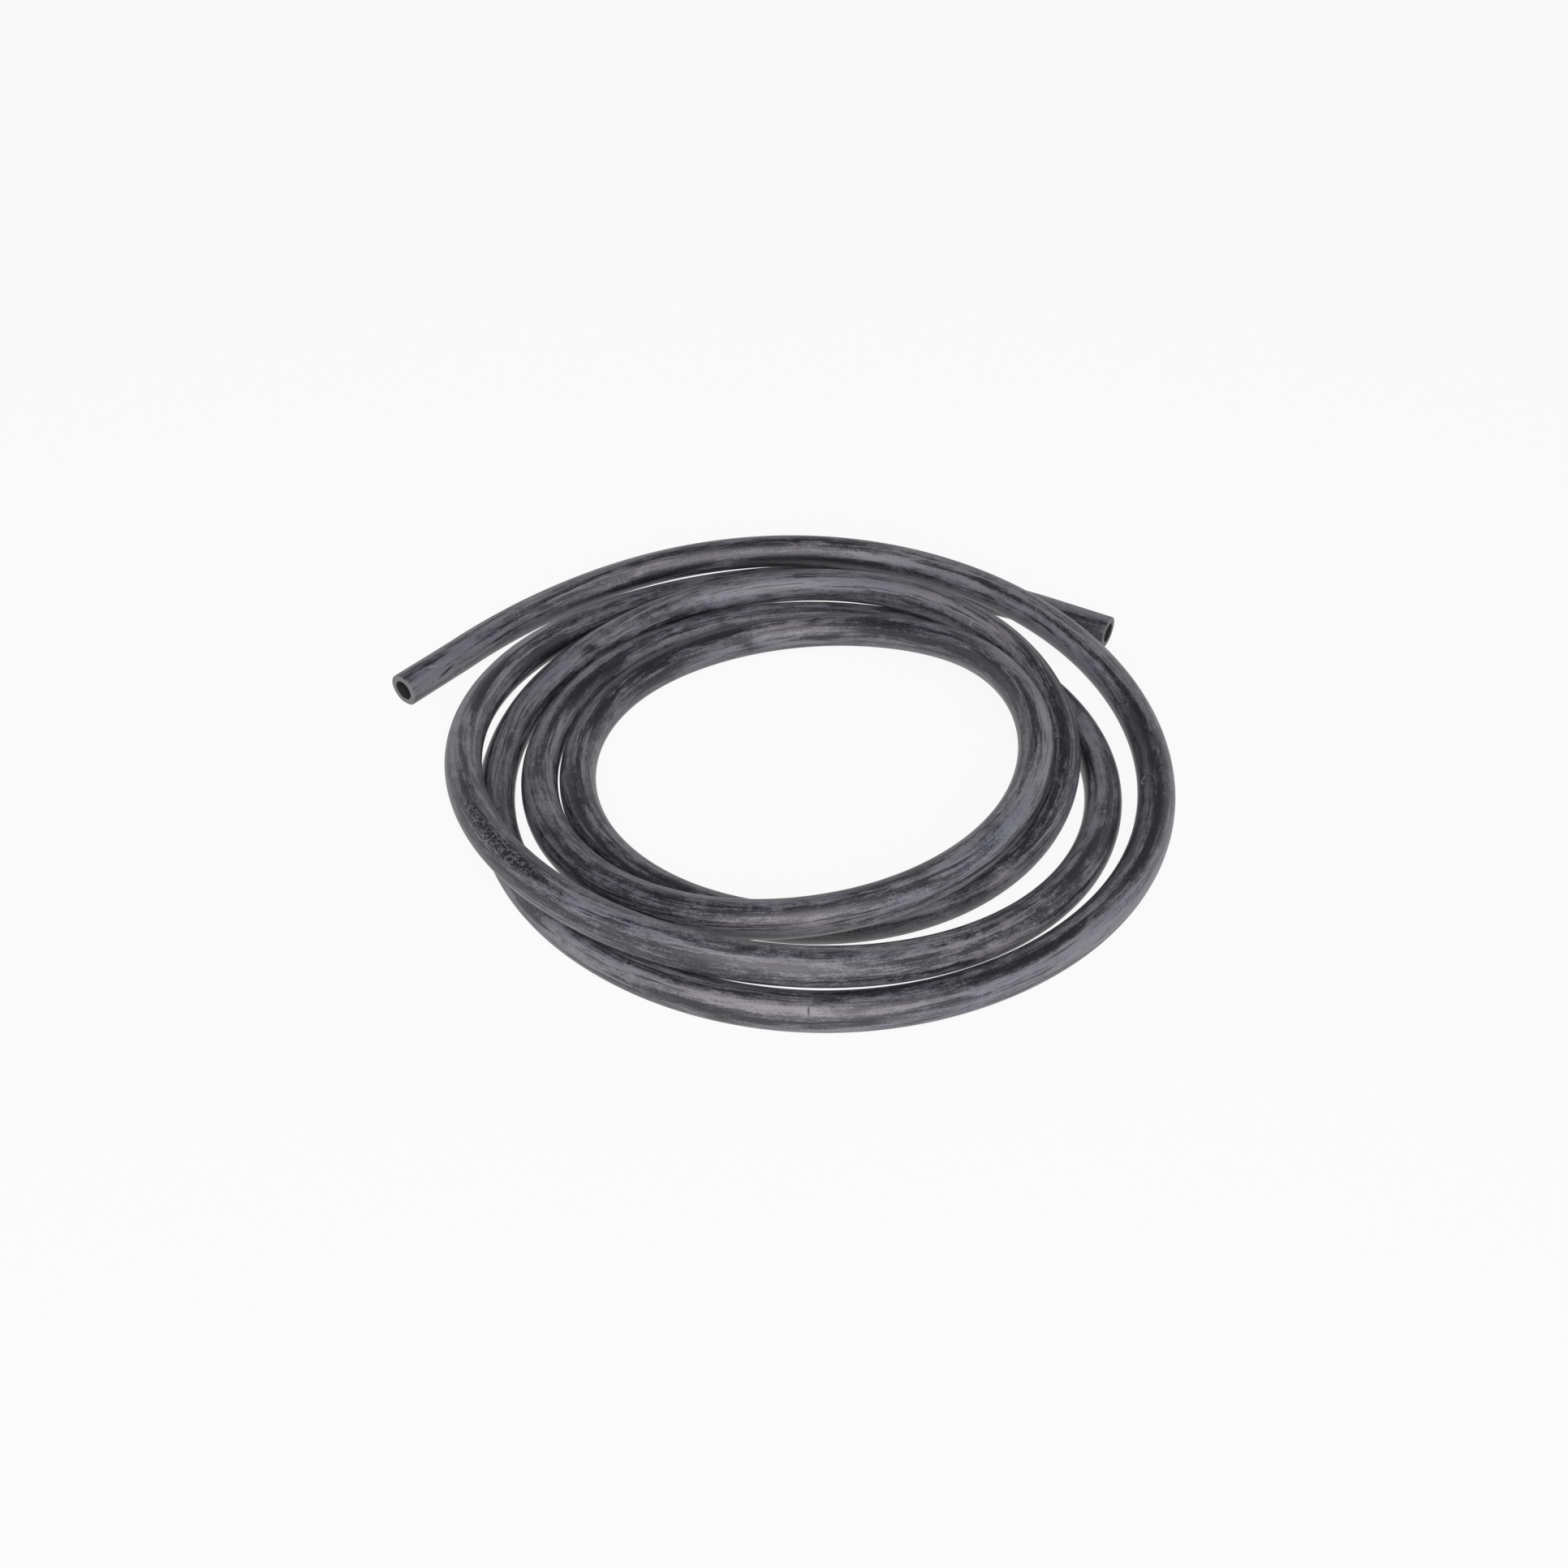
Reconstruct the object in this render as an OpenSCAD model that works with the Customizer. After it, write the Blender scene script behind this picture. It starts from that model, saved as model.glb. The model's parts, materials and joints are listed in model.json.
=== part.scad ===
// Soaker hose, coiled loosely and lying flat.
// One length of plain rubber hose: a straight left end, a little over four loops, a straight right end.

/* [Hose] */
// Outside diameter of the hose
hose_od = 16; // [12:0.5:20]
// Diameter of the bore
bore_d = 9.5; // [6:0.5:10]
// Length of the straight left end
left_end_l = 20; // [10:1:30]
// Length of the straight right end
right_end_l = 20; // [10:1:30]
// Depth of the flat that the hose rests on
flat_depth = 1.6; // [0.5:0.1:2]

/* [Coil] */
// Radius of the circle that lane 0 follows, to the middle of the hose
coil_r = 90; // [80:1:150]
// Clear space between strands that lie side by side or cross
strand_gap = 0.7; // [0.5:0.1:3]

/* [Hidden] */
$fn = 96;
rubber = [0.22, 0.22, 0.235];

// The hose is swept as rings of this many corners, this many rings to a loop.
ring_sides = 10;
loop_rings = 24;
// A coil's tube runs straight for one diameter where it meets an end.
straight_run = hose_od;
// Past the faces of a piece that is being cut
cut_margin = 1;

// The coil runs clockwise, seen from above. Angles start at the left and count up along the hose, past 360.
first_angle = 24;
last_angle = 1577;

// Stations every 30 degrees, the first one at -30. A row is one loop.
// A lane is how far out a strand lies from the lane 0 circle, in hose pitches.
station_angle = 30;
lanes = [
    8.7, 6.8, 5.3, 3.95, 3.1, 3.05, 3.45, 3.8, 4.0, 3.85, 3.65, 3.4,
    3.15, 2.75, 2.45, 2.05, 1.8, 1.45, 1.45, 1.45, 1.3, 1.05, 0.9, 0.9,
    0.9, 0.7, 0.45, 0, 0, 0.15, 0.45, 0.6, 0.8, 1.1, 1.5, 1.8,
    1.9, 1.7, 1.45, 1.1, 1.0, 1.3, 1.8, 2.4, 2.75, 2.9, 2.95, 3.15,
    3.5, 3.75, 3.45, 3.05, 2.95, 3.55, 5.1, 6.65
];
// A layer is how high a strand lies over the floor, in hose pitches: 1 where it crosses another strand.
layers = [
    0, 0, 0, 0.67, 1.05, 1.0, 0.7, 0.35, 0.15, 0.1, 0, 0,
    0, 0, 0, 0.35, 0.7, 1.05, 1.0, 0.55, 0.15, 0, 0, 0,
    0, 0, 0, 0.1, 0.2, 0.55, 1.1, 1.2, 1.1, 1.05, 0.9, 0.5,
    0.15, 0, 0, 0, 0, 0, 0, 0, 0.1, 0.4, 0.8, 1.05,
    1.0, 0.75, 0.4, 0, 0, 0, 0.1, 0.2
];

pitch = hose_od + strand_gap;
floor_z = hose_od / 2 - flat_depth;

// A smooth curve drawn by the stations: a cubic B-spline.
function along(stations, angle) =
    let (u = angle / station_angle, i = floor(u), f = u - i)
    (
        pow(1 - f, 3) * stations[i]
        + (3 * pow(f, 3) - 6 * pow(f, 2) + 4) * stations[i + 1]
        + (-3 * pow(f, 3) + 3 * pow(f, 2) + 3 * f + 1) * stations[i + 2]
        + pow(f, 3) * stations[i + 3]
    ) / 6;

// Middle of the hose at an angle, from the coil's middle
function centre(angle) =
    let (reach = coil_r + pitch * along(lanes, angle))
    [-reach * cos(angle), reach * sin(angle), floor_z + pitch * along(layers, angle)];

// The hose's heading at an angle is read from its middle a little before to a little after.
small_angle = 0.5;
function unit(v) = v / norm(v);
function heading(angle) = unit(centre(angle + small_angle) - centre(angle - small_angle));
function level(v) = unit([v.x, v.y, 0]);

// The straight stretches leave the coil level, along its own heading.
left_heading = level(heading(first_angle));
right_heading = level(heading(last_angle));
left_meet = centre(first_angle) - straight_run * left_heading;
right_meet = centre(last_angle) + straight_run * right_heading;
left_face = left_meet - left_end_l * left_heading;
right_face = right_meet + right_end_l * right_heading;

// Rings of the coil: [middle, heading] for each
ring_steps = ceil((last_angle - first_angle) * loop_rings / 360);
ring_angles = [for (i = [0 : ring_steps]) first_angle + (last_angle - first_angle) * i / ring_steps];
coil_rings = [
    [left_meet, left_heading],
    [centre(first_angle), left_heading],
    for (i = [1 : ring_steps - 1]) [centre(ring_angles[i]), heading(ring_angles[i])],
    [centre(last_angle), right_heading],
    [right_meet, right_heading]
];

// One corner of a ring, level with the floor where the hose rests on it. Corner 0 is the lowest.
function corner(ring, radius, k) =
    let (
        side = level([-ring[1].y, ring[1].x, 0]),
        up = cross(ring[1], side),
        turn = 360 * k / ring_sides - 90,
        p = ring[0] + radius * (cos(turn) * side + sin(turn) * up)
    )
    [p.x, p.y, max(p.z, 0)];

function skin(radius) = [for (ring = coil_rings, k = [0 : ring_sides - 1]) corner(ring, radius, k)];

// The part's own middle, so that the origin lies under it: over the coil's skin and the two cut faces
function disc_reach(face, direction) =
    let (reach = hose_od / 2 * [abs(direction.y), abs(direction.x), 0])
    [face - reach, face + reach];
outline = concat(
    skin(hose_od / 2),
    disc_reach(left_face, left_heading),
    disc_reach(right_face, right_heading)
);
xs = [for (p = outline) p.x];
ys = [for (p = outline) p.y];
part_middle = [(min(xs) + max(xs)) / 2, (min(ys) + max(ys)) / 2, 0];

// Points along the middle of the whole hose
line_angle = 5;
middle_line = [
    left_face,
    for (angle = [first_angle : line_angle : last_angle]) centre(angle),
    right_face
];
last_point = len(middle_line) - 1;

// The hose's length
function total(values) = values * [for (value = values) 1];
hose_length = total([for (i = [1 : last_point]) norm(middle_line[i] - middle_line[i - 1])]);

// The least gap between two strands, which are half a loop or more apart along the hose
half_loop = 180 / line_angle;
function reach_to(p, a, b) =
    let (t = (p - a) * (b - a) / ((b - a) * (b - a)))
    norm(p - a - max(0, min(1, t)) * (b - a));
least_gap = min([
    for (i = [0 : last_point - half_loop], j = [i + half_loop : last_point])
        reach_to(middle_line[i], middle_line[j - 1], middle_line[j])
]) - hose_od;
echo(hose_length = hose_length, least_gap = least_gap);

// Triangles between two neighbouring rings, with corner (i, k) at index first + i * ring_sides + k
function wall(first, outward) = [
    for (i = [0 : len(coil_rings) - 2], k = [0 : ring_sides - 1])
        let (
            a = first + i * ring_sides + k,
            b = first + i * ring_sides + (k + 1) % ring_sides,
            c = a + ring_sides,
            d = b + ring_sides
        )
        each outward ? [[a, b, c], [b, d, c]] : [[a, c, b], [b, c, d]]
];

// Triangles of the flat ring between the bore and the outside, at ring i
function cut_face(i, bore_first, at_start) = [
    for (k = [0 : ring_sides - 1])
        let (
            a = i * ring_sides + k,
            b = i * ring_sides + (k + 1) % ring_sides,
            c = bore_first + a,
            d = bore_first + b
        )
        each at_start ? [[a, c, b], [b, c, d]] : [[a, b, c], [b, d, c]]
];

// The loops: one unbroken tube with its bore
module hose_coil() {
    bore_first = len(coil_rings) * ring_sides;
    color(rubber)
        translate(-part_middle)
            polyhedron(
                points = concat(skin(hose_od / 2), skin(bore_d / 2)),
                faces = concat(
                    wall(0, true),
                    wall(bore_first, false),
                    cut_face(0, bore_first, true),
                    cut_face(len(coil_rings) - 1, bore_first, false)
                )
            );
}

// A straight end, from the coil to its square-cut face
module straight_end(meet, direction, length) {
    color(rubber)
        translate(-part_middle)
            difference() {
                translate(meet)
                    rotate([0, 90, atan2(direction.y, direction.x)])
                        difference() {
                            cylinder(h = length, d = hose_od);
                            translate([0, 0, -cut_margin])
                                cylinder(h = length + 2 * cut_margin, d = bore_d);
                        }
                // what the flat takes off the underside
                translate([meet.x, meet.y, -hose_od])
                    cylinder(h = hose_od, r = length + hose_od);
            }
}

module hose_left_end() {
    straight_end(left_meet, -left_heading, left_end_l);
}

module hose_right_end() {
    straight_end(right_meet, right_heading, right_end_l);
}

hose_coil();
hose_left_end();
hose_right_end();
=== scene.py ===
# %% [markdown]
# # A soaker hose, coiled and lying flat
#
# The object is one length of black rubber hose, 16 mm across with a 9.5 mm bore, thrown into a
# little over four loose loops. Its ends are cut square and left open. There is nothing else on it,
# so its character comes from three things: the way it lies, the thick wall that shows at its ends,
# and the dusty, streaked look of the rubber.
#
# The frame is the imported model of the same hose. It gives the true place and size, and this script
# dresses it.

# %% Load the frame
import json
import math
from functools import reduce
from operator import or_

import bpy
import numpy as np
from mathutils import Matrix


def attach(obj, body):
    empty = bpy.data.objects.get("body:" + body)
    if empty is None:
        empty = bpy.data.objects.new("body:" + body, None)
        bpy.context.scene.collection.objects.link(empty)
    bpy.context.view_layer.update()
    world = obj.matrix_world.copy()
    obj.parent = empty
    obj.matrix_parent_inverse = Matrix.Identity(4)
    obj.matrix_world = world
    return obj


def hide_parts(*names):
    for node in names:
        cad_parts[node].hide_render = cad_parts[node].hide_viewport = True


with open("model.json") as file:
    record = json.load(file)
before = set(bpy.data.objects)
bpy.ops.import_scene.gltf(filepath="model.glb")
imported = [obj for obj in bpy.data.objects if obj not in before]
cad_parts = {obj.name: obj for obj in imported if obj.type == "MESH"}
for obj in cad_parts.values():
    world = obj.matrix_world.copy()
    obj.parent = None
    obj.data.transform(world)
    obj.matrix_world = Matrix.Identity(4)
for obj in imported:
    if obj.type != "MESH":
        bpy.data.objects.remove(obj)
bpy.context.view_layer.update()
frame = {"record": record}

# %% [markdown]
# ## The hose's own sizes
#
# Everything is in metres. A few sizes drive the rest: the outside, the bore, and how much of the
# underside is lost where the hose rests on the floor. A pitch is one hose and the clear space
# beside it, so it is the natural unit for saying how far out or how high a strand lies.

# %% Sizes of the hose
MM = 0.001
HOSE_OD = 16 * MM
BORE_D = 9.5 * MM
FLAT_DEPTH = 1.6 * MM
STRAND_GAP = 0.7 * MM
END_LENGTH = 20 * MM
STRAIGHT_RUN = HOSE_OD
COIL_RADIUS = 90 * MM

HOSE_RADIUS = HOSE_OD / 2
BORE_RADIUS = BORE_D / 2
PITCH = HOSE_OD + STRAND_GAP
FLOOR_LEVEL = HOSE_RADIUS - FLAT_DEPTH
print(f"wall {(HOSE_RADIUS - BORE_RADIUS) / MM:.2f} mm, pitch {PITCH / MM:.1f} mm")

# %% [markdown]
# ## The route of the hose
#
# A loose coil is a circle that wanders. A free curve with a hundred points could follow it, but
# nobody could change such a curve afterwards. Here the loops come from a formula: the angle runs on
# past 360 degrees, and two short lists say, every 30 degrees, which lane the hose lies in and how
# high. A cubic B-spline through the lists bends as evenly as rubber does.
#
# A lane of 0 is the innermost circle. A layer of 1 is where the hose climbs over another strand.

# %% Lanes and layers, one row to a loop
STATION_ANGLE = 30
FIRST_ANGLE = 24
LAST_ANGLE = 1577
LANES = [
    8.7, 6.8, 5.3, 3.95, 3.1, 3.05, 3.45, 3.8, 4.0, 3.85, 3.65, 3.4,
    3.15, 2.75, 2.45, 2.05, 1.8, 1.45, 1.45, 1.45, 1.3, 1.05, 0.9, 0.9,
    0.9, 0.7, 0.45, 0, 0, 0.15, 0.45, 0.6, 0.8, 1.1, 1.5, 1.8,
    1.9, 1.7, 1.45, 1.1, 1.0, 1.3, 1.8, 2.4, 2.75, 2.9, 2.95, 3.15,
    3.5, 3.75, 3.45, 3.05, 2.95, 3.55, 5.1, 6.65,
]
LAYERS = [
    0, 0, 0, 0.67, 1.05, 1.0, 0.7, 0.35, 0.15, 0.1, 0, 0,
    0, 0, 0, 0.35, 0.7, 1.05, 1.0, 0.55, 0.15, 0, 0, 0,
    0, 0, 0, 0.1, 0.2, 0.55, 1.1, 1.2, 1.1, 1.05, 0.9, 0.5,
    0.15, 0, 0, 0, 0, 0, 0, 0, 0.1, 0.4, 0.8, 1.05,
    1.0, 0.75, 0.4, 0, 0, 0, 0.1, 0.2,
]


def along(stations, angles):
    """The cubic B-spline of a list of stations, read at angles in degrees."""
    stations = np.array(stations, float)
    u = np.asarray(angles, float) / STATION_ANGLE
    i = np.floor(u).astype(int)
    f = u - i
    weights = [(1 - f) ** 3, 3 * f**3 - 6 * f**2 + 4, -3 * f**3 + 3 * f**2 + 3 * f + 1, f**3]
    return sum(weight * stations[i + k] for k, weight in enumerate(weights)) / 6


def centre(angles):
    """The middle of the hose at angles in degrees, from the coil's own middle."""
    from_middle = COIL_RADIUS + PITCH * along(LANES, angles)
    turn = np.radians(angles)
    height = FLOOR_LEVEL + PITCH * along(LAYERS, angles)
    return np.stack([-from_middle * np.cos(turn), from_middle * np.sin(turn), height], axis=-1)


print(f"{(LAST_ANGLE - FIRST_ANGLE) / 360:.2f} loops from {len(LANES)} stations")

# %% [markdown]
# ## From angles to one smooth line
#
# The two ends run straight for a little over two diameters, as a stiff cut end does. They carry on
# level from the coil's own heading, so there is no kink.
#
# The frame knows where the bores of both cut ends lie. The line is laid so that its left end is
# exactly there, and how far its right end then misses says whether the two models agree.

# %% The middle line
ANGLE_STEP = 1
SMALL_ANGLE = 0.5


def level_heading(angle):
    """The way the hose runs at an angle, without its rise."""
    ahead = centre(angle + SMALL_ANGLE) - centre(angle - SMALL_ANGLE)
    ahead[2] = 0
    return ahead / np.linalg.norm(ahead)


coil_line = centre(np.arange(FIRST_ANGLE, LAST_ANGLE + ANGLE_STEP / 2, ANGLE_STEP))
left_face = coil_line[0] - (STRAIGHT_RUN + END_LENGTH) * level_heading(FIRST_ANGLE)
right_face = coil_line[-1] + (STRAIGHT_RUN + END_LENGTH) * level_heading(LAST_ANGLE)
mount_places = {mount["name"]: np.array(mount["pos_m"]) for mount in frame["record"]["mounts"]}
coil_middle = (mount_places["left_bore"] - left_face) * (1, 1, 0)
middle_line = np.vstack([left_face, coil_line, right_face]) + coil_middle
miss = np.linalg.norm(middle_line[-1] - mount_places["right_bore"])
print(f"coil's middle at {np.round(coil_middle[:2], 4)}")
print(f"right end {miss / MM:.3f} mm from the frame's")

# %% [markdown]
# ## The camera
#
# This is the view that a standing person has of something on a table, 41 degrees down across the
# coil. It is placed from the coil's middle and not from its outline, so that a change to one loop
# doesn't move the view.

# %% Camera
VIEW_DOWN = 41
VIEW_SIDEWAYS = -10 * MM
VIEW_BACK = 530.3 * MM
VIEW_HEIGHT = 450 * MM
LENS_MM = 35.2

camera_data = bpy.data.cameras.new("view")
camera_data.lens = LENS_MM
camera = bpy.data.objects.new("view", camera_data)
camera.location = (coil_middle[0] + VIEW_SIDEWAYS, coil_middle[1] - VIEW_BACK, VIEW_HEIGHT)
camera.rotation_euler = (math.radians(90 - VIEW_DOWN), 0, 0)
bpy.context.scene.collection.objects.link(camera)
bpy.context.scene.camera = camera
print("camera at", tuple(round(x, 4) for x in camera.location))

# %% [markdown]
# ## Rings along the hose
#
# A curve with a round bevel would give the outside in one step, but not the bore, nor the cut ends
# with their slightly rounded rims. The real hose is extruded: rubber is pushed through a
# ring-shaped gap. The mesh is made in the same spirit. A ring of points is carried along the middle
# line for the outside, folded round the rim, carried back for the bore and folded round the other
# rim, so that the whole hose is one closed skin.
#
# Each ring needs its middle and the two directions that span it: outwards to the side, and up.

# %% Places and directions along the line
line_reach = np.concatenate([[0], np.cumsum(np.linalg.norm(np.diff(middle_line, axis=0), axis=1))])
HOSE_LENGTH = float(line_reach[-1])
LOOK_AHEAD = 1 * MM


def on_line(distances):
    """The middle of the hose at distances from its left end."""
    columns = [np.interp(distances, line_reach, middle_line[:, axis]) for axis in range(3)]
    return np.stack(columns, axis=-1)


def unit(vectors):
    """The same directions, each one long."""
    return vectors / np.linalg.norm(vectors, axis=-1, keepdims=True)


def spanning(distances):
    """The side and up directions of the hose at distances from its left end."""
    inside = np.clip(distances, LOOK_AHEAD, HOSE_LENGTH - LOOK_AHEAD)
    heading = unit(on_line(inside + LOOK_AHEAD) - on_line(inside - LOOK_AHEAD))
    side = unit(np.stack([-heading[:, 1], heading[:, 0], 0 * heading[:, 2]], axis=-1))
    return side, np.cross(heading, side)


print(f"the hose is {HOSE_LENGTH:.3f} m long")

# %% [markdown]
# ## The shape of a cut end
#
# A knife leaves a flat face, but rubber never keeps a perfectly sharp edge: the outer corner is
# worn round by about half a millimetre and the inner one by a little less. A bevel modifier could
# round them, yet it would have to find these two edges among thousands. It is easier to write the
# profile down, as two quarter circles with a flat between them, and let the rings follow it.

# %% The rim's profile, from the outside to the bore
OUTER_ROUND = 0.55 * MM
INNER_ROUND = 0.3 * MM
ROUND_STEPS = 5
FACE_STEPS = 5


def rim_profile():
    """How far in from the cut face each ring of the rim lies, and its radius."""
    bend = np.linspace(0, math.pi / 2, ROUND_STEPS)
    outer_inset = OUTER_ROUND * (1 - np.sin(bend))
    outer_radius = HOSE_RADIUS - OUTER_ROUND * (1 - np.cos(bend))
    inner_inset = INNER_ROUND * (1 - np.cos(bend))
    inner_radius = BORE_RADIUS + INNER_ROUND * (1 - np.sin(bend))
    face_radius = np.linspace(outer_radius[-1], inner_radius[0], FACE_STEPS)[1:-1]
    inset = np.concatenate([outer_inset, 0 * face_radius, inner_inset])
    return inset, np.concatenate([outer_radius, face_radius, inner_radius])


rim_inset, rim_radius = rim_profile()
print(f"{len(rim_inset)} rings round each rim")

# %% [markdown]
# ## One closed skin
#
# The rings now run in one loop: along the outside to the right, round the right rim, back along the
# bore, and round the left rim. The outside has a ring every 2.5 mm, fine enough that no bend shows
# a corner. The bore is hardly seen, so a ring every 10 mm is plenty there.
#
# Where the hose lies on the floor, its underside is level with the floor, as in the frame.

# %% Sweep the rings
SIDES = 40
SKIN_STEP = 2.5 * MM
BORE_STEP = 10 * MM


def run(start, stop, step):
    """Distances between start and stop, about a step apart, without the two ends."""
    return np.linspace(start, stop, round(abs(stop - start) / step) + 1)[1:-1]


skin_run = run(OUTER_ROUND, HOSE_LENGTH - OUTER_ROUND, SKIN_STEP)
bore_run = run(HOSE_LENGTH - INNER_ROUND, INNER_ROUND, BORE_STEP)
ring_distance = np.concatenate([skin_run, HOSE_LENGTH - rim_inset, bore_run, rim_inset[::-1]])
ring_radius = np.concatenate(
    [0 * skin_run + HOSE_RADIUS, rim_radius, 0 * bore_run + BORE_RADIUS, rim_radius[::-1]]
)
ring_side, ring_up = spanning(ring_distance)
turns = 2 * math.pi * np.arange(SIDES) / SIDES
outwards = np.cos(turns)[:, None] * ring_side[:, None] + np.sin(turns)[:, None] * ring_up[:, None]
points = on_line(ring_distance)[:, None] + ring_radius[:, None, None] * outwards
points[..., 2] = np.maximum(points[..., 2], 0)
print(f"{len(ring_distance)} rings of {SIDES} points")

# %% [markdown]
# ## The hose pulled straight
#
# Streaks on a hose follow its length, whichever way it is coiled. A pattern that is laid out in the
# room would cut straight across the loops. An unwrapped map would follow them, but leaves a seam.
# So each point also remembers where it would be if the hose were pulled straight: x along the hose,
# y and z across it. The finish reads only that place.
#
# The rubber also turns a little as it is coiled, so the straight places turn slowly round the hose
# as well.

# %% Each point's place on the straight hose
TURNS_PER_METRE = 0.25


def on_straight_hose(distance, turn, radius):
    """A point's place if the hose were pulled straight. The turn is in radians."""
    turn = turn + 2 * math.pi * TURNS_PER_METRE * distance
    return np.stack([distance + 0 * turn, radius * np.cos(turn), radius * np.sin(turn)], axis=-1)


straight = on_straight_hose(ring_distance[:, None], turns[None, :], ring_radius[:, None])
print("straight hose from", np.round(straight.min((0, 1)), 4))
print("straight hose to", np.round(straight.max((0, 1)), 4))

# %% [markdown]
# ## Where the hose has been touched
#
# A hose isn't worn evenly. Here and there a hand or the next loop has wiped the dust off, and
# elsewhere it has heaped it up. Painting these places into an image would do, but then they could
# no longer be moved. Here each is one line: how far along the hose it lies, how far round it (0 is
# outward, 90 up, 180 inward), half its length and half its width, how far it leans, and how much
# dust it has more or less than the rest.
#
# Each place is a soft hump on the mesh's own points. The finish adds its fine grain to the humps
# before it cuts them into dust and bare rubber, so that their edges fray like real smears.

# %% Touched places
# millimetres along, degrees round, half length, half width, degrees of lean, more or less dust
TOUCHED = [
    (16, 133, 11, 1.6, -7, 0.5), (20, 108, 7, 1.0, 0, -0.6),
    (74, 174, 34, 2.2, 0, -0.9), (140, 178, 40, 2.0, 0, -0.6),
    (190, 167, 12, 1.6, 0, 0.5), (210, 148, 13, 0.7, 2, 0.6),
    (224, 181, 28, 2.4, 0, -0.7), (272, 138, 20, 2.6, -3, 0.6),
    (300, 112, 30, 1.5, 0, 0.4), (350, 125, 38, 1.1, 0, -0.9),
    (370, 157, 18, 0.7, 1, -0.8), (458, 119, 34, 4.5, 0, -0.5),
    (517, 83, 25, 2.2, -2, -0.9), (550, 42, 50, 4.0, 0, 0.6),
    (618, 79, 36, 1.7, -1, -0.8), (645, 34, 7, 0.9, 0, -0.6),
    (740, 48, 40, 3.0, 0, 0.3), (820, 36, 11, 2.4, 0, -0.9),
    (985, 160, 22, 1.6, 0, -0.5), (1006, 125, 5, 2.0, 4, -0.9),
    (1310, 90, 22, 1.2, 0, -0.5), (1610, 67, 15, 2.4, -3, -0.7),
    (1640, 150, 40, 2.0, 0, 0.5), (1670, 115, 13, 2.2, 0, -0.8),
    (1712, 115, 10, 2.4, 0, -0.7), (1714, 163, 15, 2.0, 0, -0.9),
    (1710, 144, 8, 0.8, 0, 0.7), (1750, 115, 17, 2.2, 0, -0.7),
    (1752, 142, 14, 1.8, 0, 0.5), (1778, 160, 10, 3.0, 20, 0.6),
    (1764, 163, 6, 2.6, 40, -0.9), (1780, 158, 8, 1.4, 0, -0.7),
    (1803, 169, 11, 1.0, 0, -0.8), (1836, 154, 11, 1.2, 0, -0.9),
    (1836, 110, 9, 2.6, 0, -0.5), (1905, 132, 17, 1.6, 2, -0.8),
    (1965, 110, 35, 1.4, 2, -0.5), (2050, 72, 30, 1.2, 0, 0.4),
    (2230, 70, 30, 1.2, 0, -0.5), (2305, 139, 18, 0.8, -8, 0.9),
    (2318, 125, 16, 0.7, -8, 0.7), (2342, 120, 10, 2.2, -10, -0.7),
    (2369, 134, 8, 2.0, 0, -0.9), (2665, 96, 34, 3.0, 3, 0.5),
    (2678, 143, 26, 2.0, 5, -1.0), (2725, 51, 9, 1.8, 0, -0.7),
    (2740, 36, 13, 0.7, 0, 0.8), (2750, 75, 16, 1.8, 0, -0.6),
    (2850, 60, 60, 2.0, 0, 0.4), (2960, 48, 40, 3.0, 0, 0.4),
    (3100, 105, 20, 1.6, -9, 1.0), (3077, 114, 12, 1.0, -9, 0.8),
    (3022, 76, 38, 3.2, 0, -1.7), (3130, 105, 16, 2.6, 0, -0.5),
    (3175, 105, 18, 1.0, 0, 0.6), (3185, 155, 11, 3.4, 0, -1.2),
    (3172, 138, 9, 1.6, 0, -0.8),
]

dustier = np.zeros((len(ring_distance), SIDES))
for distance, turn, half_length, half_width, lean, extra_dust in TOUCHED:
    along_it = ring_distance[:, None] - distance * MM
    round_it = HOSE_RADIUS * (np.mod(turns - math.radians(turn) + math.pi, 2 * math.pi) - math.pi)
    cos, sin = math.cos(math.radians(lean)), math.sin(math.radians(lean))
    long_way = (along_it * cos + round_it * sin) / (half_length * MM)
    short_way = (round_it * cos - along_it * sin) / (half_width * MM)
    dustier += extra_dust * np.exp(-(long_way**4 + short_way**2))
print(f"{len(TOUCHED)} touched places, dust from {dustier.min():.1f} to {dustier.max():+.1f}")

# %% [markdown]
# ## The mesh
#
# Every ring is joined to the next one by a row of four-cornered faces, and the last ring to the
# first. A ring doughnut has exactly this grid, only here the doughnut is stretched until its hole
# is the bore.

# %% Make the hose
rings = len(ring_distance)
ring_index, side_index = np.meshgrid(np.arange(rings), np.arange(SIDES), indexing="ij")
next_ring, next_side = (ring_index + 1) % rings, (side_index + 1) % SIDES
corners = [
    ring_index * SIDES + side_index,
    next_ring * SIDES + side_index,
    next_ring * SIDES + next_side,
    ring_index * SIDES + next_side,
]
faces = np.stack(corners, axis=-1).reshape(-1, 4)
mesh = bpy.data.meshes.new("hose")
mesh.from_pydata(points.reshape(-1, 3).tolist(), [], faces.tolist())
straight_places = mesh.attributes.new("straight", "FLOAT_VECTOR", "POINT")
straight_places.data.foreach_set("vector", straight.ravel())
dust_places = mesh.attributes.new("dustier", "FLOAT", "POINT")
dust_places.data.foreach_set("value", dustier.ravel())
mesh.shade_smooth()
hose = bpy.data.objects.new("hose", mesh)
bpy.context.scene.collection.objects.link(hose)
print(f"{hose.name}: {len(mesh.vertices)} points, {len(mesh.polygons)} faces")

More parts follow.
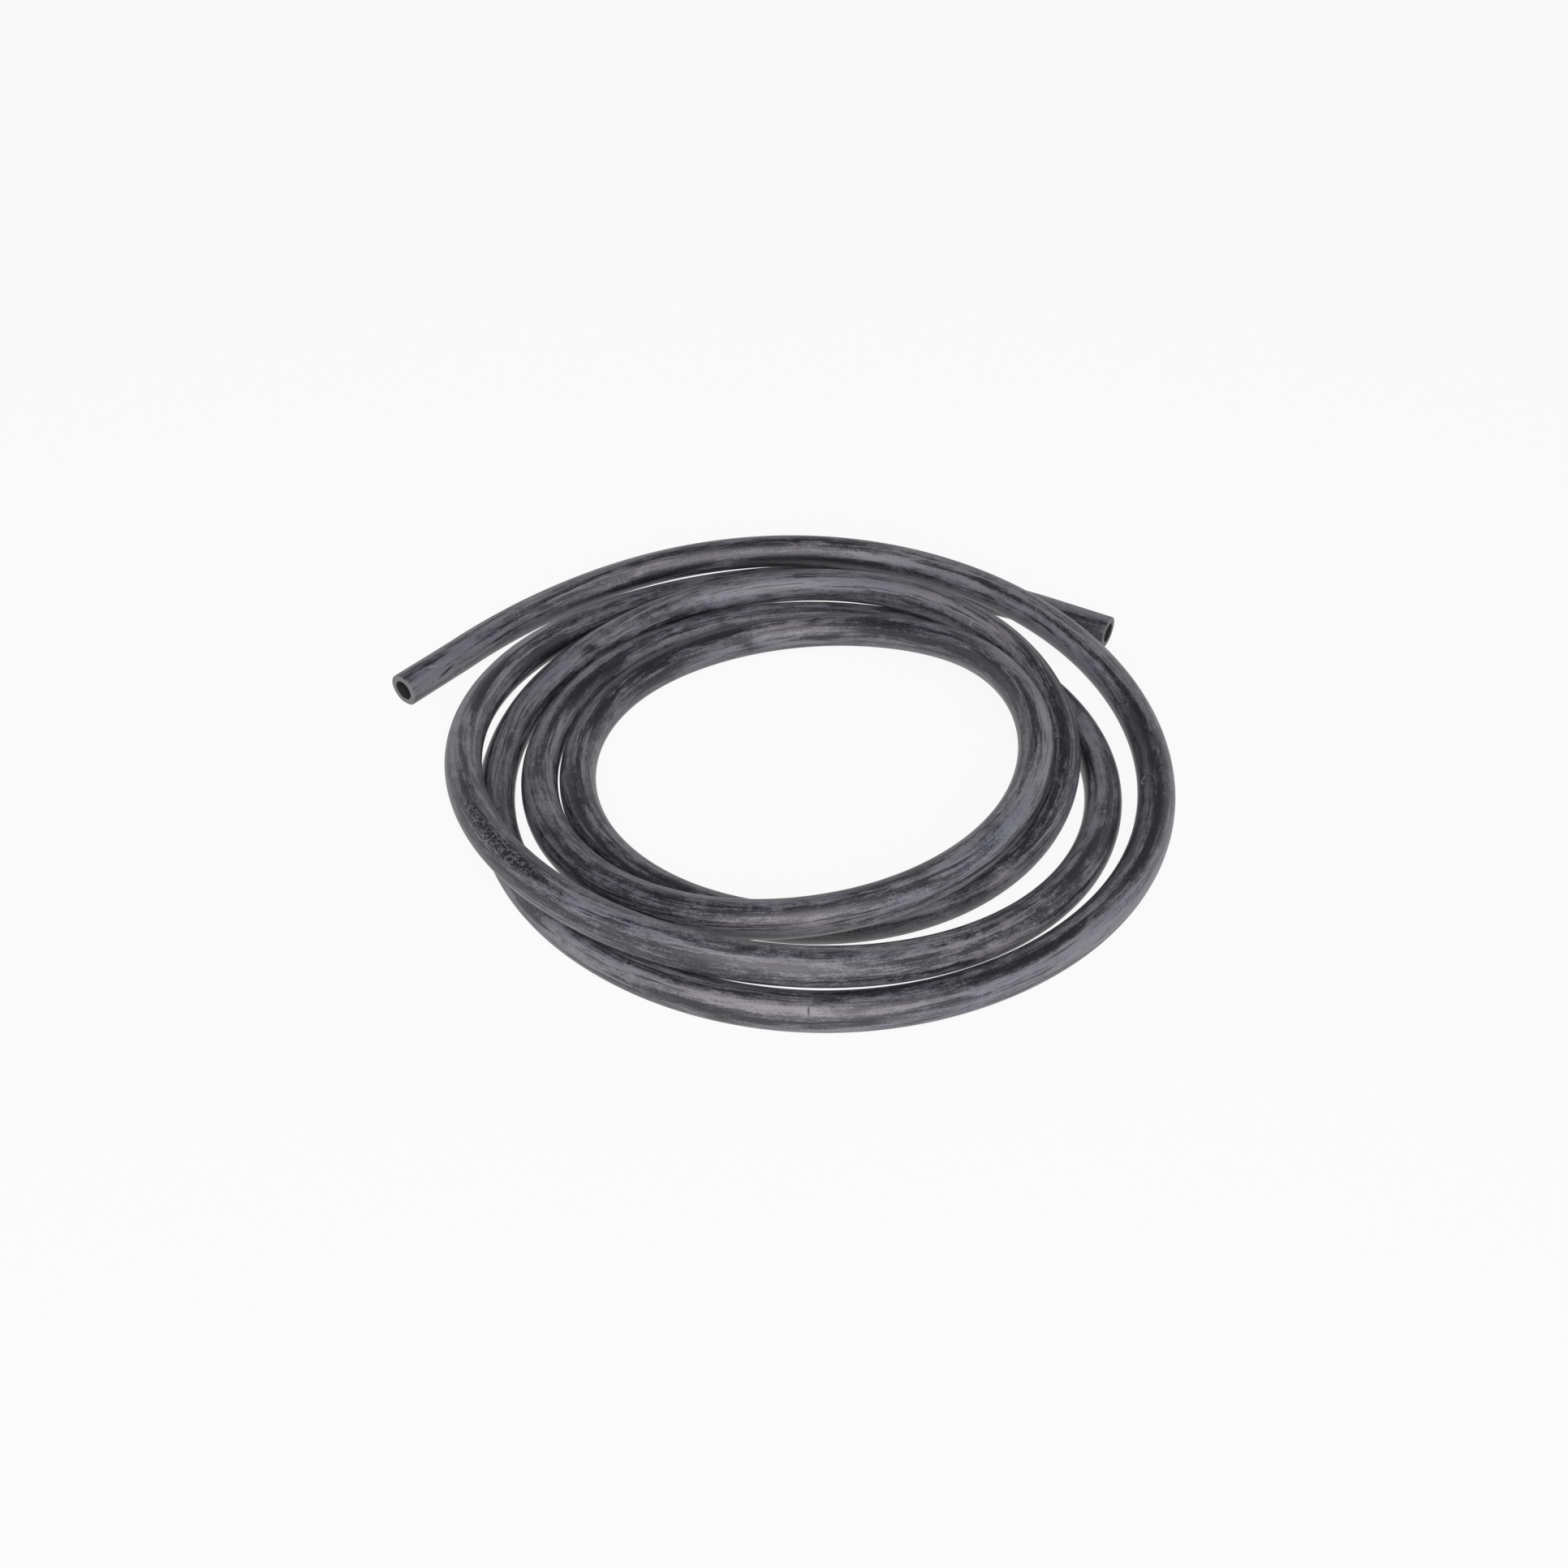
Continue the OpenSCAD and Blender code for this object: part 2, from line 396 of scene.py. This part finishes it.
# %% [markdown]
# ## A map of the skin
#
# A game or a viewer needs the finish as a flat picture, and for that the skin has to be unrolled.
# Slit along its underside, the hose would be a ribbon seventy times as long as it is wide, and most
# of a square picture would stay empty. So the ribbon is cut into nine rows that lie one above the
# other, like lines of text. The bore is hardly seen, so it is squeezed to an eighth of its length
# and fits into the last row.
#
# A face that crosses the end of a row sticks out by its own length. Nothing overlaps, because the
# rows have room there.

# %% Unroll the skin into rows
MAP_ROWS = 9
MAP_ROW_GAP = 1.2 * MM
BORE_SQUEEZE = 8
SLIT_SIDE = SIDES * 3 // 4

in_bore = np.isclose(ring_radius, BORE_RADIUS)
step = np.hypot(
    np.diff(ring_distance, append=ring_distance[:1]), np.diff(ring_radius, append=ring_radius[:1])
)
step[in_bore & np.roll(in_bore, -1)] /= BORE_SQUEEZE
ribbon = np.concatenate([[0], np.cumsum(step)])
row_length = ribbon[-1] / MAP_ROWS
row = np.minimum(ribbon[:-1] // row_length, MAP_ROWS - 1)
face_left = ribbon[:-1] - row * row_length
face_right = ribbon[1:] - row * row_length
side_width = 2 * math.pi * HOSE_RADIUS / SIDES
face_low = (np.arange(SIDES) - SLIT_SIDE) % SIDES * side_width
row_pitch = SIDES * side_width + MAP_ROW_GAP
map_side = max(face_right.max(), MAP_ROWS * row_pitch)

across = np.stack([face_left, face_right, face_right, face_left], axis=-1)[:, None, :]
face_high = face_low + side_width
upwards = np.stack([face_low, face_low, face_high, face_high], axis=-1)[None, :, :]
across, upwards = np.broadcast_arrays(across, upwards + row[:, None, None] * row_pitch)
skin_map = mesh.uv_layers.new(name="OFBake")
skin_map.data.foreach_set("uv", (np.stack([across, upwards], axis=-1) / map_side).ravel())
print(f"{MAP_ROWS} rows of {row_length / MM:.0f} mm in a square of {map_side / MM:.0f} mm")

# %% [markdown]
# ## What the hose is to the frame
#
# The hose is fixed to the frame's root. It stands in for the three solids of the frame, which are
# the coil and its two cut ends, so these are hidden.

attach(hose, "root")
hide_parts("hose_coil", "hose_left_end", "hose_right_end")

# %% [markdown]
# ## Sums on sockets
#
# A finish is a sum of masks, and a sum drawn as nodes soon takes fifty lines. This small class
# wraps one socket, so that a sum can be written as it is said: `1 - wiped` adds one Math node and
# gives the wire that comes out of it. A bar stands for "or": `dark | ring` is the stronger of two
# masks.
#
# Every other node comes from one method. It takes the node's type, its settings and what goes into
# its sockets, either a value or another wire.

# %% A wire that can be added and multiplied
class Wire:
    """The output of a node. A sum on wires adds Math nodes to the finish."""

    def __init__(self, socket):
        self.socket = socket
        self.tree = socket.id_data

    @classmethod
    def node(cls, tree, kind, settings, inputs, output=0):
        """Adds a node: its settings first, then a value or a wire for each input that is named."""
        made = tree.nodes.new(kind)
        for name, value in settings.items():
            setattr(made, name, value)
        for name, value in inputs.items():
            if isinstance(value, Wire):
                tree.links.new(value.socket, made.inputs[name])
            else:
                made.inputs[name].default_value = value
        return cls(made.outputs[output])

    def maths(self, operation, *values):
        """Adds a Math node beside the one that this wire comes from."""
        settings = {"operation": operation}
        return Wire.node(self.tree, "ShaderNodeMath", settings, dict(enumerate(values)))

    def __add__(self, other):
        return self.maths("ADD", self, other)

    def __sub__(self, other):
        return self.maths("SUBTRACT", self, other)

    def __rsub__(self, other):
        return self.maths("SUBTRACT", other, self)

    def __mul__(self, other):
        return self.maths("MULTIPLY", self, other)

    def __or__(self, other):
        return self.maths("MAXIMUM", self, other)

    def __abs__(self):
        return self.maths("ABSOLUTE", self)

    __radd__ = __add__
    __rmul__ = __mul__


print("sums can be written on wires")

# %% [markdown]
# ## The rubber
#
# The finish starts as one material with the usual principled shader. Rubber is not metal, but some
# wax always comes to its surface, so it has a soft sheen of its own. The finish reads two things
# from the mesh: each point's place on the straight hose, and how much dustier it is than the rest.

# %% Start the finish
RUBBER_SPECULAR = 0.68

rubber = bpy.data.materials.new("dusty black rubber")
rubber.use_nodes = True
finish = rubber.node_tree
shader = finish.nodes["Principled BSDF"]
shader.inputs["Specular IOR Level"].default_value = RUBBER_SPECULAR
hose.data.materials.append(rubber)

place = Wire.node(finish, "ShaderNodeAttribute", {"attribute_name": "straight"}, {}, "Vector")
touched = Wire.node(finish, "ShaderNodeAttribute", {"attribute_name": "dustier"}, {}, "Fac")
print("finish:", rubber.name)

# %% [markdown]
# ## Masks
#
# A mask is a wire that is 1 where something is and 0 where it isn't. Two small helpers do most of
# the work: one cuts a mask out of any value, with a soft edge, and one uses it to lay one colour
# over another.
#
# A place is a vector, and a Math node only takes numbers, so two more helpers do sums on places and
# measure them.

# %% Helpers for masks and places
def rise(value, low, high):
    """A mask that is 0 below low, 1 above high and smooth between."""
    settings = {"interpolation_type": "SMOOTHSTEP"}
    inputs = {"Value": value, "From Min": low, "From Max": high}
    return Wire.node(value.tree, "ShaderNodeMapRange", settings, inputs)


def blend(mask, first, second):
    """One colour over another: the first where the mask is 0, the second where it is 1."""
    inputs = {0: mask, 6: first, 7: second}
    return Wire.node(mask.tree, "ShaderNodeMix", {"data_type": "RGBA"}, inputs, 2)


def on_places(operation, *inputs, output="Vector"):
    """A sum on places, which are vectors."""
    settings = {"operation": operation}
    return Wire.node(finish, "ShaderNodeVectorMath", settings, dict(enumerate(inputs)), output)


def reach(from_something):
    """How far a place lies from where it is measured."""
    return on_places("LENGTH", from_something, output="Value")


print("masks can be cut and used")

# %% [markdown]
# ## Outside, cut face or bore
#
# One finish serves the whole hose, so it has to know which part of the rubber it is on. Three
# materials would need the mesh to be cut at the rims. The straight place tells the parts apart
# without a cut: how far it lies from the hose's own middle is the radius, and between the radius of
# the bore and that of the outside there is only the cut face.

# %% Masks for the outside and the wall
ACROSS_ONLY = (0, 1, 1)
CUT_EDGE = HOSE_RADIUS - OUTER_ROUND
OUTSIDE_FADE = (CUT_EDGE - 0.15 * MM, CUT_EDGE + 0.45 * MM)
WALL_FADE = (BORE_RADIUS + 0.1 * MM, BORE_RADIUS + 0.3 * MM)

radius = reach(on_places("MULTIPLY", place, ACROSS_ONLY))
outside = rise(radius, *OUTSIDE_FADE)
in_wall = rise(radius, *WALL_FADE)
print(f"cut face from {BORE_RADIUS / MM:.2f} to {CUT_EDGE / MM:.2f} mm from the hose's middle")

# %% [markdown]
# ## Grain that runs with the hose
#
# All of the marks on the hose are long and thin, because everything that touches it slides along
# it: the die, hands, the floor, the next loop. Plain noise has round blobs. Stretching the place
# before the noise reads it makes each blob as long and as wide as we say, in millimetres.

# %% Helpers for noise and streaks
streak_place = place


def noise(where, detail, roughness=0.5, output="Fac"):
    """Soft random blobs from 0 to 1, each about one unit across."""
    inputs = {"Vector": where, "Scale": 1.0, "Detail": detail, "Roughness": roughness}
    return Wire.node(finish, "ShaderNodeTexNoise", {}, inputs, output)


def streaks(length, width, detail, roughness=0.5, shift=0.0, output="Fac"):
    """Noise whose blobs are so long and so wide. The shift picks another part of it."""
    blobs_per_metre = (1 / length, 1 / width, 1 / width)
    stretched = on_places("MULTIPLY_ADD", streak_place, blobs_per_metre, (shift, shift, shift))
    return noise(stretched, detail, roughness, output)


print("streaks can be read")

# %% [markdown]
# ## Streaks that wander
#
# Nothing slides along a hose in a perfectly straight line. Before the streaks are read, the place
# itself is pushed aside a little, by a slow noise that changes over some centimetres, so that they
# drift and cross.

# %% Push the places aside
WANDER = 3.2 * MM
NOISE_MIDDLE = 0.5

slow_noise = streaks(75 * MM, 14 * MM, 1, shift=83.3, output="Color")
push = on_places("SUBTRACT", slow_noise, (NOISE_MIDDLE, NOISE_MIDDLE, NOISE_MIDDLE))
streak_place = on_places("MULTIPLY_ADD", push, (WANDER, WANDER, WANDER), place)
print("streaks wander by up to", WANDER * NOISE_MIDDLE / MM, "mm")

# %% [markdown]
# ## Dust
#
# New rubber hose is dusted with talc so that it doesn't stick to itself, and some wax comes out of
# the rubber later. Handling moves the dust about. Whatever slid along the hose drew it out into
# long streaks of every size. Some stretches also have rounder smears, where a hand closed on the
# hose. Under a lens the dust has fine lines and a grain.

# %% Streaks, smears, lines and grain
drift = streaks(150 * MM, 7 * MM, 5, 0.8, shift=3.1)
handled = rise(streaks(230 * MM, 40 * MM, 1, shift=61.7), 0.44, 0.60)
smears = streaks(10 * MM, 5 * MM, 5, 0.8, shift=11.7)
lines = streaks(9 * MM, 0.5 * MM, 2, 0.8, shift=23.9)
grain = streaks(1.1 * MM, 0.7 * MM, 2, 0.8, shift=29.5)
print("patterns of the dust made")

# %% [markdown]
# ## One mask for the dust
#
# The patterns are added first and then cut into one mask. Cutting each on its own would give flat,
# separate stencils. Each counts by how far it swings from the middle of the noise, times its own
# share. Smears count for more where the hose was handled.
#
# The cut is fairly hard, so the finest two patterns are added once more after it. Otherwise a thick
# drift would be as smooth as paint.

# %% How thick the dust lies
DRIFT_SHARE = 2.0
SMEAR_SHARE, HANDLED_SHARE = 0.55, 0.50
LINE_SHARE, LINES_AFTER_CUT = 0.14, 0.35
GRAIN_SHARE, GRAIN_AFTER_CUT = 0.25, 0.65
TOUCHED_SHARE = 0.30
DUST_CUT = (-0.18, 0.25)

drift_swing, smear_swing = drift - NOISE_MIDDLE, smears - NOISE_MIDDLE
line_swing, grain_swing = lines - NOISE_MIDDLE, grain - NOISE_MIDDLE
thickness = DRIFT_SHARE * drift_swing + (SMEAR_SHARE + HANDLED_SHARE * handled) * smear_swing
thickness = thickness + LINE_SHARE * line_swing + GRAIN_SHARE * grain_swing
thickness = thickness + TOUCHED_SHARE * touched
dust = rise(thickness, *DUST_CUT) + LINES_AFTER_CUT * line_swing + GRAIN_AFTER_CUT * grain_swing
print("dust mask made")

# %% [markdown]
# ## Wiped streaks
#
# Where something rubbed harder, the dust is gone and the black rubber shows. These wipes are narrow
# and sharper than the dust's own edges, and they come in bundles. Scratches do the opposite: they
# roughen the skin and look light. Small pale specks lie wherever the drift is thick.

# %% Dark wipes, light scratches and specks
WIPED_AWAY = 0.9
SCRATCH_DUST = 0.4
SPECK_DUST = 0.35

wipe_bundles = rise(streaks(90 * MM, 5 * MM, 2, shift=37.3), 0.45, 0.60)
wiped = wipe_bundles * rise(streaks(26 * MM, 0.9 * MM, 3, 0.65, shift=43.1), 0.50, 0.60)
scratches = rise(streaks(24 * MM, 0.40 * MM, 2, shift=71.9), 0.66, 0.76)
specks = rise(streaks(0.7 * MM, 0.5 * MM, 1, shift=17.7), 0.66, 0.74) * rise(drift, 0.45, 0.60)
dust = dust * (1 - WIPED_AWAY * wiped) + SCRATCH_DUST * scratches + SPECK_DUST * specks
print("wipes, scratches and specks made")

# %% [markdown]
# ## Single marks
#
# A few marks belong to one spot each: a gouge by the left end, thin black cuts, and short ticks
# across the hose where something sharp knocked it. Noise can't put a mark in one spot. Each gets
# its own mask, an ellipse that is measured from the mark's own place on the straight hose.
#
# Moving the mark is then a matter of changing its row: distance along the hose, turn round it, half
# its length and half its width in millimetres, and its lean.

# %% Helpers for single marks
MARK_FADE = (0.5, 1.1)


def from_mark(distance, turn, half_length, half_width, lean=0):
    """The place measured from a mark: x along it, y across it, each 1 at its edge."""
    middle = on_straight_hose(distance * MM, math.radians(turn), HOSE_RADIUS)
    straight_turn = math.atan2(middle[2], middle[1])
    facing_out = Matrix.Rotation(straight_turn - math.pi / 2, 3, "X")
    leaning = Matrix.Rotation(math.radians(lean), 3, "Z")
    inputs = {
        "Vector": place,
        "Location": middle,
        "Rotation": (facing_out @ leaning).to_euler(),
        "Scale": (half_length * MM, half_width * MM, HOSE_RADIUS),
    }
    return Wire.node(finish, "ShaderNodeMapping", {"vector_type": "TEXTURE"}, inputs)


def mark(*row):
    """A mask for one mark, 1 in its middle and 0 beyond its edge."""
    return 1 - rise(reach(from_mark(*row)), *MARK_FADE)


print("marks can be placed")

# %% Gouges, cuts and ticks
DARK_MARKS = [
    (21, 161, 6.0, 0.7, 11),
    (2096, 30, 9, 0.4), (2105, 34, 9, 0.4), (2130, 30, 9, 0.4),
    (699, 49, 0.4, 2.0), (770, 69, 1.1, 0.7),
    (1307, 110, 0.4, 2.4), (1311, 113, 0.35, 1.6), (1316, 109, 0.4, 2.2),
]
LIGHT_MARKS = [(15.5, 123, 3.0, 0.7, -20), (1224, 144, 0.4, 2.2)]

dark = reduce(or_, [mark(*row) for row in DARK_MARKS])
light = reduce(or_, [mark(*row) for row in LIGHT_MARKS])
print(len(DARK_MARKS), "dark marks and", len(LIGHT_MARKS), "light ones")

# %% [markdown]
# ## A lifted nick
#
# Half a metre from the left end a knock has lifted a small round flap of rubber. It shows as most
# of a ring that is painted light and shade: a painted shadow in black on the half that the flap
# shades, and a painted highlight along its lifted edge. A ring is where the reach from the middle
# is close to 1. One side of it is left open, where the flap still holds.

# %% The nick
NICK = (486, 130, 2.5, 2.5)
NICK_LINE = 0.28
NICK_OPENS = (0.5, 1.0)
NICK_SHADOW = (-0.5, 0.1)

from_nick = from_mark(*NICK)
nick_x, nick_y = (
    Wire.node(finish, "ShaderNodeSeparateXYZ", {}, {"Vector": from_nick}, axis) for axis in "XY"
)
ring = 1 - rise(abs(reach(from_nick) - 1), NICK_LINE / 3, NICK_LINE)
ring = ring * (1 - rise(nick_x, *NICK_OPENS))
# The shaded half of the ring gets a painted shadow in the dark mask, the other half a painted
# highlight in the light mask.
in_shadow = rise(nick_y, *NICK_SHADOW)
dark = dark | ring * in_shadow
light = light | ring * (1 - in_shadow)
print("nick made")

# %% [markdown]
# ## A mottled spot
#
# Half a metre from the right end the dust has been damp once and has dried in small dark blots with
# pale rims. The blots are where a noise is high, and their rims where it is close to its middle.

# %% The mottling
MOTTLED = (3022, 72, 38, 5)
BLOT_STRENGTH = 0.75
RIM_STRENGTH = 0.55

mottled = mark(*MOTTLED)
blot_noise = streaks(3.0 * MM, 2.2 * MM, 2, 0.6, shift=91.9)
blots = rise(blot_noise, 0.54, 0.62)
rims = rise(blot_noise, 0.46, 0.50) * (1 - rise(blot_noise, 0.51, 0.55))
dark = dark | BLOT_STRENGTH * mottled * blots
light = light | RIM_STRENGTH * mottled * rims
print("mottling made")

# %% [markdown]
# ## The colours
#
# The rubber itself is almost black, with a breath of blue. A thin film of dust makes it charcoal,
# and a full drift makes it grey. The grey isn't even: some stretches of it are cool and others are
# warmer, like clay.

# %% Colour of the outside
BARE_RUBBER = (0.008, 0.009, 0.012, 1)
THIN_FILM = (0.026, 0.029, 0.036, 1)
WARM_DUST = (0.195, 0.191, 0.205, 1)
COOL_DUST = (0.160, 0.167, 0.189, 1)
# A pale grey for light scuffs and the blots' rims, which is also the nick's painted highlight.
SCUFFS_AND_PAINTED_HIGHLIGHT = (0.230, 0.235, 0.250, 1)
FILM_LINES, FILM_GRAIN, FILM_TOUCHED = 0.5, 0.3, 0.2
FILM_CUT = (0.30, 0.62)
FILM_WIPED_AWAY = 0.7

warmth = rise(streaks(90 * MM, 9 * MM, 2, shift=51.3), 0.40, 0.60)
film_thickness = drift + FILM_LINES * line_swing + FILM_GRAIN * grain_swing
film_thickness = film_thickness + FILM_TOUCHED * touched
film = rise(film_thickness, *FILM_CUT) * (1 - FILM_WIPED_AWAY * wiped)
dust_colour = blend(warmth, COOL_DUST, WARM_DUST)
skin_colour = blend(dust, blend(film, BARE_RUBBER, THIN_FILM), dust_colour)
# Dark marks and the nick's painted shadow are laid in bare black; light marks, the blots' rims and
# the nick's painted highlight in pale grey.
skin_colour = blend(light, blend(dark, skin_colour, BARE_RUBBER), SCUFFS_AND_PAINTED_HIGHLIGHT)
print("colour of the outside made")

# %% [markdown]
# ## Cut faces and bore
#
# The cut shows the inside of the wall, which never had dust or a polished skin: an even, dull,
# lighter grey with faint marks of the knife. The knife's marks are a noise that is stretched across
# the cut. The bore is bare and dark.

# %% Colours of the cut faces and the bore
CUT_GREY = (0.215, 0.210, 0.212, 1)
CUT_GREY_DARK = (0.150, 0.147, 0.150, 1)
BORE_BLACK = (0.012, 0.011, 0.011, 1)
KNIFE_MARKS_PER_METRE = (0, 1500, 250)

knife = noise(on_places("MULTIPLY", place, KNIFE_MARKS_PER_METRE), 3)
cut_colour = blend(knife, CUT_GREY_DARK, CUT_GREY)
inner_colour = blend(in_wall, BORE_BLACK, cut_colour)
colour = blend(outside, inner_colour, skin_colour)
finish.links.new(colour.socket, shader.inputs["Base Color"])
print("cut faces and bore made")

# %% [markdown]
# ## Gloss
#
# Dust dulls the sheen of bare rubber, so the same mask that colours the dust also makes it rougher.
# A cut face never had a sheen and is duller still.

# %% Roughness
BARE_ROUGHNESS = 0.38
DUSTY_ROUGHNESS = 0.45
CUT_ROUGHNESS = 0.85

skin_roughness = BARE_ROUGHNESS + (DUSTY_ROUGHNESS - BARE_ROUGHNESS) * dust
roughness = CUT_ROUGHNESS + outside * (skin_roughness - CUT_ROUGHNESS)
finish.links.new(roughness.socket, shader.inputs["Roughness"])
print("roughness made")

# %% [markdown]
# ## Relief
#
# Extruded rubber is never quite smooth: it has a fine grain, and shallow lines that the die drew
# along it. They are far too shallow to model, but they break up the sheen. Moving the mesh's own
# points would take millions of them, so a bump node only bends the light. Dark marks are cut into
# the skin and light ones stand a little proud.

# %% Relief of the surface
RELIEF_DEPTH = 0.05 * MM
LINE_RELIEF = 0.8
MARK_RELIEF = 2

height = grain + LINE_RELIEF * lines + smears + MARK_RELIEF * light - MARK_RELIEF * dark
bump_inputs = {"Strength": 1.0, "Distance": RELIEF_DEPTH, "Height": height}
relief = Wire.node(finish, "ShaderNodeBump", {}, bump_inputs, "Normal")
finish.links.new(relief.socket, shader.inputs["Normal"])
print("relief made")

# %% [markdown]
# ## The floor
#
# The hose lies on a plain white floor. Paper alone would turn grey away from the lamp, so most of
# what the camera sees of it is its own white. Only a small share is lit, and that share keeps the
# hose's shadow. The lit paper is a cool light grey, which is also what it throws back up at the
# hose.

# %% Floor
FLOOR_SIZE = 12.0
FLOOR_DROP = 0.05 * MM
LIT_PAPER = (0.60, 0.63, 0.67, 1)
PURE_WHITE = (1, 1, 1, 1)
OWN_WHITE_SHARE = 0.92
SEEN_BY = ("Is Camera Ray", "Is Glossy Ray", "Is Transmission Ray")


def seen_directly(tree):
    """1 for what the camera, a mirror or glass sees, 0 for light that bounces."""
    return reduce(or_, [Wire.node(tree, "ShaderNodeLightPath", {}, {}, ray) for ray in SEEN_BY])


bpy.ops.mesh.primitive_plane_add(size=FLOOR_SIZE, location=(0, 0, -FLOOR_DROP))
floor = bpy.context.object
floor.name = "floor"
paper = bpy.data.materials.new("white floor")
paper.use_nodes = True
paper.node_tree.nodes.clear()
lit = Wire.node(paper.node_tree, "ShaderNodeBsdfDiffuse", {}, {"Color": LIT_PAPER})
white = Wire.node(paper.node_tree, "ShaderNodeEmission", {}, {"Color": PURE_WHITE})
share = OWN_WHITE_SHARE * seen_directly(paper.node_tree)
surface = Wire.node(paper.node_tree, "ShaderNodeMixShader", {}, {0: share, 1: lit, 2: white})
floor_out = paper.node_tree.nodes.new("ShaderNodeOutputMaterial")
paper.node_tree.links.new(surface.socket, floor_out.inputs["Surface"])
floor.data.materials.append(paper)
print("floor:", floor.dimensions[:2])

# %% [markdown]
# ## Light
#
# One tall, oval softbox stands behind the viewer, tilted down at the coil. It is seen from the same
# side as the camera, so each strand that lies across the view gets one broad sheen along its
# middle, and the strands that run away from the viewer stay dark. A softbox straight above would
# light all of them alike.
#
# The rest is the room: pale walls all round and a dim ceiling. The walls give the hose its thin
# light rims.

# %% Softbox
SOFTBOX_DISTANCE = 1.5
SOFTBOX_WIDTH = 1.1
SOFTBOX_HEIGHT = 2.1
SOFTBOX_ELEVATION = 42
SOFTBOX_WATTS = 23
SOFTBOX_COLOUR = (1.0, 0.93, 0.95)

softbox_data = bpy.data.lights.new("softbox", "AREA")
softbox_data.shape = "ELLIPSE"
softbox_data.size = SOFTBOX_WIDTH
softbox_data.size_y = SOFTBOX_HEIGHT
softbox_data.energy = SOFTBOX_WATTS
softbox_data.color = SOFTBOX_COLOUR
softbox = bpy.data.objects.new("softbox", softbox_data)
tilt = math.radians(SOFTBOX_ELEVATION)
softbox.location = (
    coil_middle[0],
    coil_middle[1] - SOFTBOX_DISTANCE * math.cos(tilt),
    SOFTBOX_DISTANCE * math.sin(tilt),
)
softbox.rotation_euler = (math.radians(90) - tilt, 0, 0)
softbox.visible_camera = False
bpy.context.scene.collection.objects.link(softbox)
print("softbox at", tuple(round(x, 2) for x in softbox.location))

# %% [markdown]
# ## The room
#
# The world's colour depends only on how high one looks: white at the level of the walls, grey
# towards the ceiling. A picture of a real studio would do as well, but two plain tones are easier
# to change.

# %% Room
WALL_WHITE = (0.985, 0.992, 1, 1)
CEILING_GREY = (0.095, 0.105, 0.12, 1)
WALL_TOP = 0.34
CEILING_START = 0.60

room = bpy.data.worlds.new("white room")
bpy.context.scene.world = room
room.use_nodes = True
air = room.node_tree
air.nodes.clear()
gaze = Wire.node(air, "ShaderNodeTexCoord", {}, {}, "Generated")
gaze_height = Wire.node(air, "ShaderNodeSeparateXYZ", {}, {"Vector": gaze}, "Z")
room_colour = blend(rise(gaze_height, WALL_TOP, CEILING_START), WALL_WHITE, CEILING_GREY)
room_light = Wire.node(air, "ShaderNodeBackground", {}, {"Color": room_colour})
room_out = air.nodes.new("ShaderNodeOutputWorld")
air.links.new(room_light.socket, room_out.inputs["Surface"])
bpy.context.scene.view_settings.view_transform = "Standard"
print("light set")
